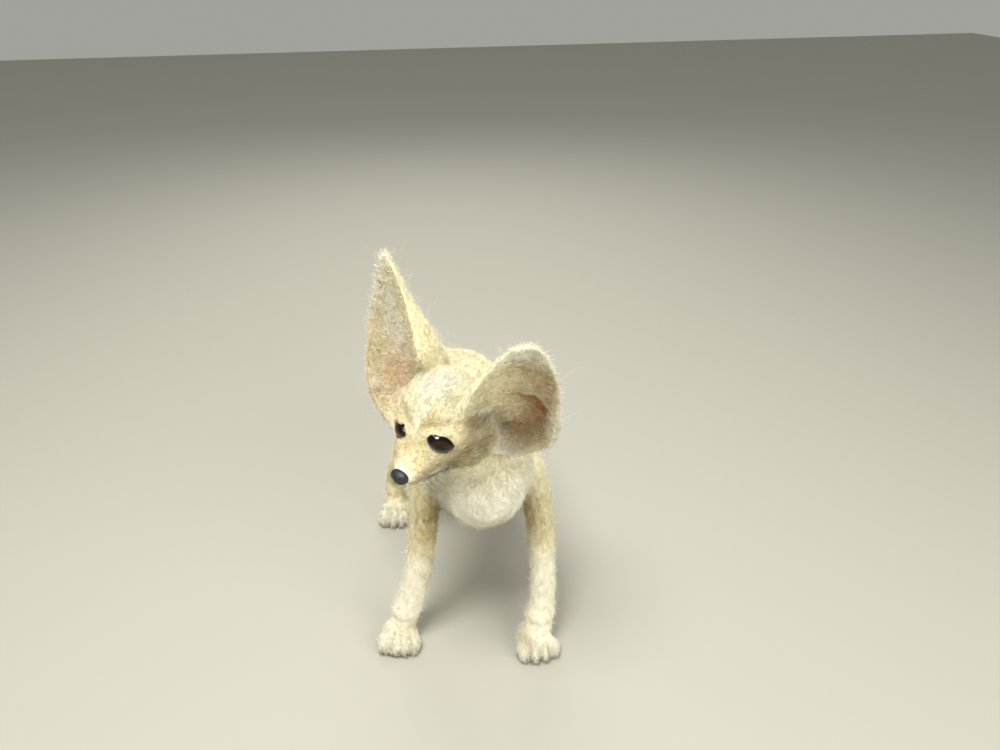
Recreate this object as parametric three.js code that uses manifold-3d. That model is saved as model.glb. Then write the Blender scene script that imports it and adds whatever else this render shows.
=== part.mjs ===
// A needle-felted fennec fox that stands on four feet with its head turned to its right, in millimetres.
// The fox looks along -Y, its left is +X and +Z is up. Its feet stand on z = 0.
// Each part is a shape swept along a curve, and the parts meet with a thin gap.
import * as THREE from 'three';
import { mergeVertices } from 'three/addons/utils/BufferGeometryUtils.js';
import Module from 'manifold-3d';

const wasm = await Module();
wasm.setup();

// Driving dimensions
const gap = 0.3; // between parts that touch
const spineSide = 5; // the trunk's middle plane lies this far to the left of the middle of the stance
const backHeight = 182; // floor to the top of the shoulders
const chestFloor = 97; // floor to the underside of the chest
const chestFront = -92; // foremost point of the chest
const rumpEnd = 92; // hindmost point of the rump
const trunkWidth = 76;
const legThickness = 20;
const pawWidth = 29;
const pawLength = 33;
const pawHeight = 17;
const foreFeet = { left: [37.5, -87], right: [-55.5, -62] }; // middle of each paw on the floor
const hindFeet = { left: [50, 78], right: [-45, 74] };
const headCentre = new THREE.Vector3(-16.5, -76, 200);
const headTurn = 49; // degrees, to the fox's right
const headNod = 14; // degrees, nose down
const headTilt = 2; // degrees, crown to the fox's left
const headWidth = 57;
const noseReach = 48; // middle of the skull to the tip of the nose
const noseDrop = 14;
const earWidth = 54;
const earRootWall = { left: 16, right: 24 }; // extra thickness behind the foot of each ear
const earWall = 4.2;
const eyeWidth = 16.5;
const eyeHeight = 11.6;
const eyePlaces = { left: [15.1, -24, 3.8], right: [-10.4, -25.5, 2.5] }; // in the head frame, a little uneven
const eyeSlant = 26; // degrees, outer corner down
const eyeTurn = 37; // degrees that each eye looks outward
const tailLength = 168;
const tailWidth = 38;

const wool = 0xe9e2cf;
const paleWool = 0xf3efe4;
const tanWool = 0xc9b48c;
const darkWool = 0x4a3c30;
const colours = { wool, paleWool, tanWool, darkWool, glass: 0x120c09, nose: 0x1b1f28 };

const sides = ['left', 'right'];
const sign = { left: 1, right: -1 };

// Geometry helpers

function rad(degrees) {
  return THREE.MathUtils.degToRad(degrees);
}

function vector(place) {
  return Array.isArray(place) ? new THREE.Vector3(...place) : place.clone();
}

// A sphere's grid of points laid along a curve: the sphere's poles become the two rounded ends, and its
// circles the cross-sections. Each station has its centre, half width, half height up and half height down.
function sweep(stations, { up = [0, 0, 1], around = 20, along = 10, caps = 3, ends = [0.8, 0.8], section, grow = 0 } = {}) {
  const spine = new THREE.CatmullRomCurve3(stations.map((s) => vector(s.at)), false, 'centripetal');
  const size = new THREE.CatmullRomCurve3(
    stations.map((s) => new THREE.Vector3(s.wide, s.high, s.low ?? s.high)), false, 'centripetal');
  const rows = along + 2 * caps;
  const geometry = new THREE.SphereGeometry(1, around, rows);
  const position = geometry.getAttribute('position');
  const upward = vector(up).normalize();
  const point = new THREE.Vector3();
  for (let row = 0; row <= rows; row++) {
    const before = row < caps;
    const after = row > rows - caps;
    const t = THREE.MathUtils.clamp((row - caps) / along, 0, 1);
    const turn = before ? row / caps : after ? (rows - row) / caps : 1;
    const shrink = Math.sin((turn * Math.PI) / 2);
    const [wide, high, low] = spineSize(size, t);
    const middle = spine.getPoint(t);
    const ahead = spine.getTangent(t);
    const lift = upward.clone().addScaledVector(ahead, -upward.dot(ahead)).normalize();
    const side = lift.clone().cross(ahead);
    const bulge = (wide + high + low) / 3 + grow;
    const reach = Math.cos((turn * Math.PI) / 2) * bulge * (before ? -ends[0] : ends[1]);
    for (let column = 0; column <= around; column++) {
      const angle = (column / around) * 2 * Math.PI;
      const [x, z] = section
        ? section(angle, t, wide, high, low)
        : [Math.cos(angle) * (wide + grow), Math.sin(angle) * ((Math.sin(angle) > 0 ? high : low) + grow)];
      point.copy(middle).addScaledVector(ahead, reach);
      point.addScaledVector(side, -x * shrink).addScaledVector(lift, z * shrink);
      position.setXYZ(row * (around + 1) + column, point.x, point.y, point.z);
    }
  }
  return geometry;
}

function spineSize(size, t) {
  const s = size.getPoint(t);
  return [s.x, s.y, s.z];
}

// An ellipsoid from half sizes.
function ball(at, halves, around = 16) {
  const geometry = new THREE.SphereGeometry(1, around, Math.round(around * 0.6));
  return geometry.scale(...halves).translate(...vector(at).toArray());
}

// Solids for joining and cutting

function solid(geometry) {
  const bare = geometry.clone();
  bare.deleteAttribute('normal');
  bare.deleteAttribute('uv');
  const merged = mergeVertices(bare, 1e-4);
  return new wasm.Manifold(new wasm.Mesh({
    numProp: 3,
    vertProperties: merged.getAttribute('position').array,
    triVerts: Uint32Array.from(merged.index.array),
  }));
}

function join(geometries) {
  return geometries.map(solid).reduce((whole, next) => whole.add(next));
}

function cutAway(whole, ...others) {
  return others.reduce((left, other) => left.subtract(other), whole);
}

// A block that holds everything on one side of a plane through a point, to cut lengths off a limb.
function beyond(at, toward) {
  const size = 600;
  const geometry = new THREE.BoxGeometry(size, size, size).translate(0, 0, size / 2);
  const turn = new THREE.Quaternion().setFromUnitVectors(new THREE.Vector3(0, 0, 1), vector(toward).normalize());
  geometry.applyQuaternion(turn).translate(...vector(at).toArray());
  return solid(geometry);
}

// Cuts a limb across at each plane, and returns its lengths in order, with a gap between them.
function parted(limb, cuts) {
  const lengths = [];
  let rest = limb;
  for (const cut of cuts) {
    const toward = vector(cut.toward).normalize();
    lengths.push(rest.subtract(beyond(vector(cut.at).addScaledVector(toward, -gap / 2), toward)));
    rest = rest.intersect(beyond(vector(cut.at).addScaledVector(toward, gap / 2), toward));
  }
  lengths.push(rest);
  return lengths;
}

const figure = new THREE.Group();

function addPart(name, shape, colour, roughness = 0.95) {
  const mesh = shape.getMesh();
  const geometry = new THREE.BufferGeometry();
  geometry.setAttribute('position', new THREE.BufferAttribute(Float32Array.from(mesh.vertProperties), 3));
  geometry.setIndex(new THREE.BufferAttribute(Uint32Array.from(mesh.triVerts), 1));
  const flat = geometry.toNonIndexed();
  flat.computeVertexNormals();
  const part = new THREE.Mesh(flat, new THREE.MeshStandardMaterial({
    color: colours[colour], roughness, metalness: 0,
  }));
  part.name = name;
  figure.add(part);
}

// Trunk: one sweep from the breast to the croup, with a deep chest and a lighter loin
function trunk(grow) {
  const half = trunkWidth / 2;
  const chestMiddle = (backHeight + chestFloor) / 2;
  const chestDepth = (backHeight - chestFloor) / 2;
  return solid(sweep([
    { at: [spineSide, chestFront + 17, chestMiddle - 1], wide: half * 0.74, high: chestDepth * 0.66, low: chestDepth * 0.72 },
    { at: [spineSide, chestFront + 40, chestMiddle - 1], wide: half, high: chestDepth * 0.98, low: chestDepth * 0.98 },
    { at: [spineSide, -20, chestMiddle + 2], wide: half * 0.98, high: chestDepth - 2, low: chestDepth },
    { at: [spineSide, 18, chestMiddle + 3], wide: half * 0.9, high: chestDepth - 6, low: chestDepth * 0.84 },
    { at: [spineSide, 50, chestMiddle - 1], wide: half * 0.92, high: chestDepth * 0.72, low: chestDepth * 0.66 },
    { at: [spineSide, rumpEnd - 15, chestMiddle - 7], wide: half * 0.68, high: chestDepth * 0.5, low: chestDepth * 0.52 },
  ], { around: 22, along: 10, caps: 3, ends: [0.62, 0.6], grow }));
}

// Neck: from between the shoulders up into the back of the head
const neckFoot = new THREE.Vector3(spineSide, -52, 150);
const neckTop = headCentre.clone().add(new THREE.Vector3(5, 8, -8));
function neck(grow) {
  return solid(sweep([
    { at: neckFoot, wide: 33, high: 27, low: 34 },
    { at: neckFoot.clone().lerp(neckTop, 0.5), wide: 27, high: 23, low: 27 },
    { at: neckTop, wide: 23, high: 21, low: 22 },
  ], { up: [0, 1, 0.4], around: 14, along: 4, caps: 2, ends: [0.3, 0.3], grow }));
}

// Head frame: origin in the middle of the skull, nose toward -Y, then turned onto the neck
const headPose = new THREE.Matrix4().makeRotationFromEuler(
  new THREE.Euler(rad(headNod), rad(headTilt), rad(-headTurn), 'ZXY')).setPosition(headCentre);
function onHead(geometry) {
  return geometry.applyMatrix4(headPose);
}

// The skull and the muzzle are one sweep from the nape to the nose, with a step down between the eyes
function skull(grow) {
  const half = headWidth / 2;
  return solid(onHead(sweep([
    { at: [0, 17, 2], wide: half * 0.72, high: 16, low: 16 },
    { at: [0, 5, 2], wide: half * 0.96, high: 24, low: 22 },
    { at: [0, -8, 1], wide: half * 0.98, high: 23, low: 22 },
    { at: [0, -18, -2], wide: half * 0.85, high: 18, low: 18 },
    { at: [0, -27, -7], wide: half * 0.64, high: 11, low: 16 },
    { at: [0, -36, -noseDrop + 3], wide: 12, high: 7, low: 11.5 },
    { at: [0, -noseReach + 3.5, -noseDrop + 0.6], wide: 7.8, high: 5.6, low: 9 },
  ], { around: 18, along: 10, caps: 3, ends: [0.75, 0.5], grow })));
}

// The lower jaw: a slim sweep under the muzzle, from the throat to the chin
function jaw(grow = 0) {
  return solid(onHead(sweep([
    { at: [0, -8, -25], wide: 18, high: 8, low: 6 },
    { at: [0, -22, -25], wide: 13.5, high: 7, low: 5.5 },
    { at: [0, -37, -noseDrop - 10], wide: 7.5, high: 4.5, low: 4.5 },
  ], { around: 14, along: 5, caps: 2, ends: [0.5, 0.7], grow })));
}

// Cheek ruffs fill the head out behind the jaw
function cheek(side, grow) {
  return solid(onHead(ball([side * 15, -2, -14], [15 + grow, 20 + grow, 16 + grow], 10)));
}

function head(grow = 0) {
  return skull(grow).add(cheek(1, grow)).add(cheek(-1, grow));
}

// Eyes: almond-shaped, set into the head so that only the front shows
function eye(side, grow = 0) {
  const look = ball([0, 0, 0], [eyeWidth / 2 + grow, 6.5 + grow, eyeHeight / 2 + grow], 12);
  look.rotateY(rad(sign[side] * eyeSlant)).rotateZ(rad(sign[side] * eyeTurn));
  return solid(onHead(look.translate(...eyePlaces[side])));
}

function nose(grow = 0) {
  const pad = ball([0, -noseReach + 1, -noseDrop + 1.6], [5.8 + grow, 4 + grow, 4.2 + grow], 10);
  return solid(onHead(pad));
}

// Ears: a curved blade with its hollow side forward, closed below into a cup. The section is an arc with rounded
// rims. Each row has a place along the ear, the half width of the blade there as a part of the widest, how far the
// arc bends round to each side in degrees, how much of its inner side is left out where it meets the cheek, and
// how far the row stands forward.
const earRows = [
  [-0.27, 0.4, 74, 0.4, 13], [-0.2, 0.7, 82, 0.6, 9], [-0.08, 0.93, 88, 0.75, 3.5], [0.12, 1.02, 84, 0.66, 0],
  [0.34, 1.0, 74, 0.12, 0], [0.56, 0.9, 62, 0, 0], [0.78, 0.67, 52, 0, 0], [0.94, 0.4, 44, 0, 0], [1, 0.26, 38, 0, 0],
];
const earRoots = { left: [29, 8, -3], right: [-29, 6, -6] };
const earTips = { left: [66, -1, 75], right: [-44, 18, 87] };
const earOutward = { left: 46, right: 10 }; // degrees that each hollow side faces away from straight ahead
const earTipRound = 3;
const earTipFullness = { left: 1, right: 0.6 }; // width of the tip, as a part of the rows above
const earRootPlace = 0.3; // part of the way up the blade where it is thickest behind
function ear(side, grow = 0) {
  const root = vector(earRoots[side]);
  const lean = vector(earTips[side]).sub(root);
  const blade = lean.length() - earTipRound;
  lean.normalize();
  const half = earWidth / 2;
  const outward = rad(earOutward[side]);
  const back = new THREE.Vector3(-sign[side] * Math.sin(outward), Math.cos(outward), 0.15);
  const stations = earRows.map(([along, wide, bend, trim, forward]) => ({
    at: root.clone().addScaledVector(lean, along * blade).addScaledVector(back, -forward),
    wide: half * wide * (1 - (1 - earTipFullness[side]) * Math.max(0, 2 * along - 1)),
    high: bend,
    low: trim,
  }));
  const arc = (angle, t, wide, bend, trim) => {
    const kept = 1 - trim / 2;
    const across = (Math.cos(angle) * kept - (sign[side] * trim) / 2) * rad(bend);
    const radius = wide / Math.sin(rad(bend));
    const above = Math.max(0, 1 - Math.abs(t - earRootPlace) / 0.42);
    const mound = Math.sin(angle) > 0 ? earRootWall[side] * Math.sin(angle) ** 1.4 * above ** 1.3 : 0;
    const off = radius + mound + (earWall / 2 + grow) * Math.sin(angle) * (1.4 - 0.7 * t);
    return [off * Math.sin(across) * (1 + grow / wide), off * Math.cos(across) - radius * 0.75];
  };
  return solid(onHead(sweep(stations, { up: back, around: 18, along: 11, caps: 2, ends: [0.02, 0.08], section: arc })));
}

// Paws: a low pad with four toes in front, flat underneath
function paw([x, y], splay, grow = 0) {
  const toes = [-1.5, -0.5, 0.5, 1.5].map((step) => ball(
    [step * pawWidth * 0.235, -pawLength * (Math.abs(step) < 1 ? 0.3 : 0.23), pawHeight * 0.32],
    [pawWidth * 0.155 + grow, pawLength * 0.23 + grow, pawHeight * 0.42 + grow], 8));
  const pad = sweep([
    { at: [0, pawLength * 0.22, pawHeight * 0.52], wide: pawWidth * 0.36, high: pawHeight * 0.45 },
    { at: [0, 0, pawHeight * 0.46], wide: pawWidth * 0.44, high: pawHeight * 0.52 },
    { at: [0, -pawLength * 0.24, pawHeight * 0.36], wide: pawWidth * 0.4, high: pawHeight * 0.4 },
  ], { around: 10, along: 3, caps: 2, ends: [0.9, 0.4], grow });
  const placed = [pad, ...toes].map((piece) => piece.rotateZ(rad(splay)).translate(x, y, 0));
  return join(placed).intersect(beyond([0, 0, 0], [0, 0, 1]));
}

// Forelegs: shoulder, elbow and wrist lie on one curve that ends in the paw
const foreCurves = {
  left: [[27, -34, 156], [38, -45, 132], [44.5, -57, 106], [46, -66, 74], [45.5, -75, 40], [41.5, -81, 17], [38, -85, 8]],
  right: [[-17, -34, 156], [-28, -44, 132], [-33, -52, 106], [-36, -55, 77], [-41, -56, 50], [-50, -56, 21], [-54, -58, 8]],
};
function foreleg(side, grow = 0) {
  const half = legThickness / 2;
  const sizes = [[1.1, 1.9], [1.2, 1.9], [1.08, 1.4], [0.98, 1.04], [0.97, 0.98], [1.08, 1.1], [0.9, 0.9]];
  return solid(sweep(foreCurves[side].map((at, i) => ({
    at, wide: half * sizes[i][0], high: half * sizes[i][1],
  })), { up: [0, -1, 0], around: 12, along: 10, caps: 2, ends: [0.6, 0.3], grow }));
}

// Hind legs: thigh, knee, hock and foot. The knee points forward and the hock back.
const hindCurves = {
  left: [[26, 55, 140], [35, 52, 112], [41, 54, 84], [45.5, 72, 56], [48.5, 88, 36], [49.5, 86, 20], [50, 82, 9]],
  right: [[-16, 55, 140], [-26, 52, 112], [-33, 54, 84], [-39, 70, 56], [-43, 85, 36], [-44.5, 82, 20], [-45, 78, 9]],
};
function hindleg(side, grow = 0) {
  const half = legThickness / 2;
  const sizes = [[1.2, 2.6], [1.4, 2.6], [1.2, 1.9], [0.9, 1.15], [0.85, 0.92], [0.84, 0.88], [0.9, 0.9]];
  return solid(sweep(hindCurves[side].map((at, i) => ({
    at, wide: half * sizes[i][0], high: half * sizes[i][1],
  })), { up: [0, -1, 0], around: 12, along: 10, caps: 2, ends: [0.5, 0.3], grow }));
}

// Tail: a brush that hangs behind and curves back at its end, clear of the floor
const tailCurve = [[0, 0, 0], [0, 0.16, -0.1], [0.01, 0.34, -0.3], [0.02, 0.5, -0.5], [0.03, 0.66, -0.62], [0.04, 0.82, -0.66]];
const tailRoot = new THREE.Vector3(spineSide, rumpEnd - 22, 146);
function tail(grow = 0) {
  const fullness = [0.42, 0.56, 0.8, 1, 0.86, 0.42];
  return solid(sweep(tailCurve.map((point, i) => ({
    at: tailRoot.clone().addScaledVector(vector(point), tailLength),
    wide: (tailWidth / 2) * fullness[i],
    high: (tailWidth / 2) * fullness[i],
  })), { around: 14, along: 10, caps: 3, ends: [0.5, 1.3], grow }));
}

// Parts, each cut clear of the ones it meets
const splay = { fore: { left: 0, right: -14 }, hind: { left: 6, right: -8 } };
const trunkRoom = trunk(gap);
const headRoom = head(gap);

const [chest, belly, rump] = parted(trunk(0), [
  { at: [0, -22, 0], toward: [0, 1, 0] },
  { at: [0, 34, 0], toward: [0, 1, 0] },
]);
addPart('chest', chest, 'paleWool');
addPart('belly', belly, 'wool');
addPart('rump', rump, 'wool');
addPart('neck', cutAway(neck(0), trunkRoom, headRoom), 'wool');

const [cranium, muzzle] = parted(
  cutAway(head(), ...sides.map((side) => eye(side, gap)), nose(gap), jaw(gap)),
  [{ at: new THREE.Vector3(0, -27, 0).applyMatrix4(headPose),
    toward: new THREE.Vector3(0, -1, 0).transformDirection(headPose) }]);
addPart('head', cranium, 'wool');
addPart('muzzle', muzzle, 'paleWool');
addPart('jaw', cutAway(jaw(), neck(gap)), 'paleWool');
addPart('nose', cutAway(nose(), jaw(gap)), 'nose', 0.45);
for (const side of sides) {
  addPart('eye_' + side, eye(side), 'glass', 0.08);
  addPart('ear_' + side, cutAway(ear(side), headRoom, trunkRoom, neck(gap)), 'wool');
}

for (const side of sides) {
  const forePaw = paw(foreFeet[side], splay.fore[side]);
  const [upper, lower] = parted(
    cutAway(foreleg(side), trunkRoom, neck(gap), paw(foreFeet[side], splay.fore[side], gap)),
    [{ at: foreCurves[side][3], toward: [0, 0, -1] }]);
  addPart('upper_foreleg_' + side, upper, 'tanWool');
  addPart('lower_foreleg_' + side, lower, 'wool');
  addPart('forepaw_' + side, forePaw, 'paleWool');
  const hindPaw = paw(hindFeet[side], splay.hind[side]);
  const [thigh, shank] = parted(
    cutAway(hindleg(side), trunkRoom, paw(hindFeet[side], splay.hind[side], gap)),
    [{ at: hindCurves[side][2], toward: [0, 0.35, -1] }]);
  addPart('thigh_' + side, thigh, 'wool');
  addPart('shank_' + side, shank, 'wool');
  addPart('hindpaw_' + side, hindPaw, 'paleWool');
}

const tailCuts = [2, 4].map((i) => ({
  at: tailRoot.clone().addScaledVector(vector(tailCurve[i]), tailLength),
  toward: vector(tailCurve[i + 1]).sub(vector(tailCurve[i - 1])),
}));
const [tailBase, tailMiddle, tailTip] = parted(
  cutAway(tail(), trunkRoom, ...sides.map((side) => hindleg(side, gap))), tailCuts);
addPart('tail_base', tailBase, 'wool');
addPart('tail_middle', tailMiddle, 'tanWool');
addPart('tail_tip', tailTip, 'darkWool');

// The origin is the middle of the figure's box, on the floor
const box = new THREE.Box3().setFromObject(figure);
const middle = box.getCenter(new THREE.Vector3());
figure.position.set(-middle.x, -middle.y, -box.min.z);

export default figure;
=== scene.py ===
import math

import bpy
import bmesh
import numpy as np
from mathutils.bvhtree import BVHTree
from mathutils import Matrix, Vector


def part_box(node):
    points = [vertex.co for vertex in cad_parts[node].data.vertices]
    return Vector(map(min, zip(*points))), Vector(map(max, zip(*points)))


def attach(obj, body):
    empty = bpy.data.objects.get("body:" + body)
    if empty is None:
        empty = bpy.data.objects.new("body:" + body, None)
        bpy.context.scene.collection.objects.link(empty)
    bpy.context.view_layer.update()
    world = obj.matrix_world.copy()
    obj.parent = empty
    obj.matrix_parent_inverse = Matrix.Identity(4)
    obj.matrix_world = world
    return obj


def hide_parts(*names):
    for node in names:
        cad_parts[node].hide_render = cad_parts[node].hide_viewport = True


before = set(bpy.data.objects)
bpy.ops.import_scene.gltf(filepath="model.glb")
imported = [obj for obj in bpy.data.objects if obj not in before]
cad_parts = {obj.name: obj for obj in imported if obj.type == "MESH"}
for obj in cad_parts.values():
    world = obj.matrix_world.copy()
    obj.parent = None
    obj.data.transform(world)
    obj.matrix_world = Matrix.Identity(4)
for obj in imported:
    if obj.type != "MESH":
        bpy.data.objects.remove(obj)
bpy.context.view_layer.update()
mm = 0.001


def middleOf(node):
    # halfway between the two corners of the node's box
    low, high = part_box(node)
    return (np.array(low) + np.array(high)) / 2


def unit(v):
    # each vector divided by its length
    return v / np.maximum(np.linalg.norm(v, axis=-1, keepdims=True), 1e-12)


# Camera: in front of the fox and above it, placed from the left forepaw
view = {"fromPaw": (-104.3 * mm, -369.7 * mm), "height": 445.0 * mm, "tilt": 60, "turn": -12,
        "lens": 28, "sensor": 36}
paw = middleOf("forepaw_left")
camera = bpy.data.objects.new("camera", bpy.data.cameras.new("camera"))
camera.data.lens = view["lens"]
camera.data.sensor_width = view["sensor"]
camera.location = (paw[0] + view["fromPaw"][0], paw[1] + view["fromPaw"][1], view["height"])
camera.rotation_euler = (math.radians(view["tilt"]), 0, math.radians(view["turn"]))
bpy.context.scene.collection.objects.link(camera)
bpy.context.scene.camera = camera


# Materials
def linear(hexColour):
    # sRGB hex to linear: c / 12.92 below 0.04045, else ((c + 0.055) / 1.055) ** 2.4
    c = np.array([int(hexColour[i:i + 2], 16) for i in (1, 3, 5)]) / 255
    return np.where(c <= 0.04045, c / 12.92, ((c + 0.055) / 1.055) ** 2.4)


def colour(hexColour):
    return (*linear(hexColour), 1.0)


def newMaterial(name):
    material = bpy.data.materials.new(name)
    material.use_nodes = True
    return material, material.node_tree.nodes["Principled BSDF"]


def addNode(material, kind, settings=None, values=None, links=None):
    # settings are the node's own, values fill its sockets, links join (from node, socket) to a socket
    node = material.node_tree.nodes.new(kind)
    for key, value in (settings or {}).items():
        setattr(node, key, value)
    for key, value in (values or {}).items():
        node.inputs[key].default_value = value
    for key, (source, socket) in (links or {}).items():
        material.node_tree.links.new(source.outputs[socket], node.inputs[key])
    return node


def join(material, source, socket, target, targetSocket):
    material.node_tree.links.new(source.outputs[socket], target.inputs[targetSocket])


# Needle-felted merino wool: matt and soft-edged. Matted fibres run every way over a lumpy surface with
# needle pricks a few millimetres apart. Real fibres are 0.02 mm thick and are drawn coarser.
felt = {"roughness": 0.94, "swirl": 6, "bend": 4, "fibre": 0.8, "prick": 3.5, "prickShare": 0.25,
        "bump": 0.5, "bumpDepth": 0.35}  # sizes in mm


def feltMaterial():
    material, shader = newMaterial("needle-felted wool")
    shader.inputs["Roughness"].default_value = felt["roughness"]
    shader.inputs["Specular IOR Level"].default_value = 0.1
    shader.inputs["Sheen Weight"].default_value = 0.08
    shader.inputs["Sheen Roughness"].default_value = 0.6
    shader.inputs["Sheen Tint"].default_value = colour("#FFF8E8")
    paint = addNode(material, "ShaderNodeAttribute", {"attribute_name": "wool"})
    place = addNode(material, "ShaderNodeTexCoord")
    # a noise or cell scale is 1000 / its size in mm, as the coordinates are metres
    swirl = addNode(material, "ShaderNodeTexNoise", {}, {"Scale": 1000 / felt["swirl"], "Detail": 2.0},
                    {"Vector": (place, "Object")})
    bend = addNode(material, "ShaderNodeVectorMath", {"operation": "SCALE"},
                   {"Scale": felt["bend"] * mm}, {"Vector": (swirl, "Color")})
    bent = addNode(material, "ShaderNodeVectorMath", {"operation": "ADD"}, {},
                   {0: (place, "Object"), 1: (bend, "Vector")})
    fibres = addNode(material, "ShaderNodeTexNoise", {},
                     {"Scale": 1000 / felt["fibre"], "Detail": 5.0, "Roughness": 0.65},
                     {"Vector": (bent, "Vector")})
    pricks = addNode(material, "ShaderNodeTexVoronoi", {"feature": "SMOOTH_F1"},
                     {"Scale": 1000 / felt["prick"], "Smoothness": 0.7}, {"Vector": (bent, "Vector")})
    # height = prick distance * its share + fibre noise
    height = addNode(material, "ShaderNodeMath", {"operation": "MULTIPLY_ADD"}, {1: felt["prickShare"]},
                     {0: (pricks, "Distance"), 2: (fibres, "Fac")})
    bump = addNode(material, "ShaderNodeBump", {},
                   {"Strength": felt["bump"], "Distance": felt["bumpDepth"] * mm},
                   {"Height": (height, "Value")})
    join(material, bump, "Normal", shader, "Normal")
    # the felt is a little darker between its fibres
    shade = addNode(material, "ShaderNodeMapRange", {},
                    {"From Min": 0.3, "From Max": 0.72, "To Min": 0.86, "To Max": 1.05},
                    {"Value": (fibres, "Fac")})
    mixed = addNode(material, "ShaderNodeVectorMath", {"operation": "SCALE"}, {},
                    {"Vector": (paint, "Color"), "Scale": (shade, "Result")})
    join(material, mixed, "Vector", shader, "Base Color")
    return material


# Loose wool fibre: each wisp has one colour of its own, and its crimp scatters light into a soft sheen.
def fibreMaterial():
    material, shader = newMaterial("loose wool fibre")
    shader.inputs["Roughness"].default_value = 0.8
    shader.inputs["Specular IOR Level"].default_value = 0.12
    shader.inputs["Sheen Weight"].default_value = 0.05
    shader.inputs["Sheen Roughness"].default_value = 0.5
    paint = addNode(material, "ShaderNodeAttribute", {"attribute_name": "wool"})
    join(material, paint, "Color", shader, "Base Color")
    return material


def addPiece(name, points, faces, material, replaces=()):
    # a mesh at the origin that rides on the model and may replace imported nodes
    mesh = bpy.data.meshes.new(name)
    faces = faces if isinstance(faces, list) else faces.tolist()
    mesh.from_pydata(np.asarray(points).tolist(), [], faces)
    mesh.materials.append(material)
    mesh.shade_smooth()
    piece = bpy.data.objects.new(name, mesh)
    bpy.context.scene.collection.objects.link(piece)
    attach(piece, "root")
    if replaces:
        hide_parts(*replaces)
    return piece


def paintPiece(piece, layerName, tones):
    # one linear colour for each point
    layer = piece.data.color_attributes.new(layerName, "FLOAT_COLOR", "POINT")
    layer.data.foreach_set("color", np.column_stack([tones, np.ones(len(tones))]).ravel())


# Head frame: origin in the middle of the skull, the fox's left is +X, its nose points to -Y, crown to +Z.
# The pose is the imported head's, and its place comes from the middle of the left eye.
headPose = {"turn": -49, "nod": 14, "tilt": 2, "leftEye": (15.1, -24, 3.8)}


def turned(axis, degrees):
    # rotation about one axis: cosines on the diagonal, minus and plus the sine beside it
    c, s = math.cos(math.radians(degrees)), math.sin(math.radians(degrees))
    a, b = {"x": (1, 2), "y": (2, 0), "z": (0, 1)}[axis]
    matrix = np.eye(3)
    matrix[a, a] = matrix[b, b] = c
    matrix[a, b], matrix[b, a] = -s, s
    return matrix


headAxes = turned("z", headPose["turn"]) @ turned("x", headPose["nod"]) @ turned("y", headPose["tilt"])
eyeMiddles = {side: middleOf("eye_" + side) for side in ("left", "right")}
headMiddle = eyeMiddles["left"] - headAxes @ (np.array(headPose["leftEye"]) * mm)


def toHead(points):
    # part frame in metres to head frame in millimetres
    return (points - headMiddle) @ headAxes / mm


def fromHead(points):
    # head frame in millimetres to part frame in metres
    return headMiddle + (np.asarray(points, float) * mm) @ headAxes.T


# Skin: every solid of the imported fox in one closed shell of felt
skinSetup = {
    "swell": 0.4 * mm,   # closes the thin cuts between the solids
    "weld": 0.001 * mm,  # corners nearer than this become one
    "voxel": 1.42 * mm,
    "smoothing": 20,     # rounds that take the facets out, each a step toward and a step away
    "toward": 0.55, "away": 0.57,
    "coatDepth": {"body": 0.8 * mm, "head": 0.6 * mm, "ear": 0.4 * mm, "paw": 0.3 * mm},
}
nodeNames = sorted(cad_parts)
fleshNames = [n for n in nodeNames if not n.startswith(("eye", "nose"))]


def gathered(names):
    # all points and triangles of the named solids, and the number of the solid for each triangle
    points, faces, owner, start = [], [], [], 0
    for number, name in enumerate(names):
        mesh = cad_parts[name].data
        co = np.empty(len(mesh.vertices) * 3)
        mesh.vertices.foreach_get("co", co)
        mesh.calc_loop_triangles()
        tri = np.empty(len(mesh.loop_triangles) * 3, int)
        mesh.loop_triangles.foreach_get("vertices", tri)
        points.append(co.reshape(-1, 3))
        faces.append(tri.reshape(-1, 3) + start)
        owner += [number] * (len(tri) // 3)
        start += len(mesh.vertices)
    return np.concatenate(points), np.concatenate(faces), np.array(owner)


def normals(points, quads):
    # corner normals weighted by area: the cross product of each quad's diagonals, summed at its corners
    across = np.cross(points[quads[:, 2]] - points[quads[:, 0]],
                      points[quads[:, 3]] - points[quads[:, 1]])
    total = np.zeros_like(points)
    for corner in range(4):
        for axis in range(3):
            total[:, axis] += np.bincount(quads[:, corner], across[:, axis], len(points))
    return unit(total)


def relax(values, rounds, strength=0.5, back=0.0):
    # each round moves every value toward the mean of its neighbours, then by back away from it
    values = np.array(values, float)
    values = values.reshape(len(values), -1)
    count = np.bincount(skinEdges.ravel(), minlength=len(values))[:, None]
    for _ in range(rounds):
        for amount in (strength, -back) if back else (strength,):
            total = np.empty_like(values)
            for axis in range(values.shape[1]):
                ends = [np.bincount(skinEdges[:, i], values[skinEdges[:, 1 - i], axis], len(values))
                        for i in (0, 1)]
                total[:, axis] = ends[0] + ends[1]
            values += amount * (total / count - values)
    return values


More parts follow.
